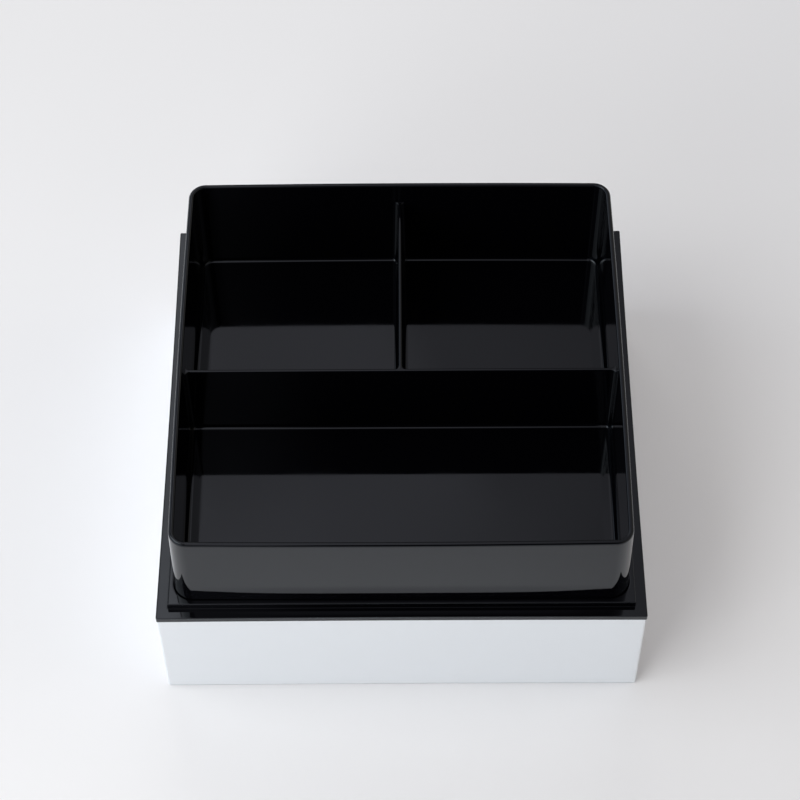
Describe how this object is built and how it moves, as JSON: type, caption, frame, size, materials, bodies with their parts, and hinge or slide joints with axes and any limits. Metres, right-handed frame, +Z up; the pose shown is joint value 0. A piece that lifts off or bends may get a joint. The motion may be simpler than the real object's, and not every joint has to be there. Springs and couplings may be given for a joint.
{
  "type": "bento box",
  "caption": "Square bento box without its lid: white case, black flanged liner, plain lower tray, and a tall upper tray with moulded dividers.",
  "frame": {"origin": "centre of the underside, on the surface that the box stands on", "axes": "+Z up, front with the wide compartment towards -Y, +X to the right seen from the front"},
  "size_m": [0.195, 0.195, 0.1009],
  "materials": {
    "white_case": "white ABS, satin gloss paint",
    "black_liner": "black ABS, high gloss",
    "black_tray": "black ABS, high gloss"
  },
  "bodies": {
    "base": {"outer_case": "white_case", "inner_liner": "black_liner"},
    "lower_tray": {"lower_tray": "black_tray"},
    "upper_tray": {"upper_tray": "black_tray"}
  },
  "joints": [
    {"name": "lower_tray_lift", "type": "slide", "parent": "base", "child": "lower_tray", "axis": [0, 0, 1], "range_m": [0, 0.07]},
    {"name": "upper_tray_lift", "type": "slide", "parent": "lower_tray", "child": "upper_tray", "axis": [0, 0, 1], "range_m": [0, 0.09]}
  ]
}
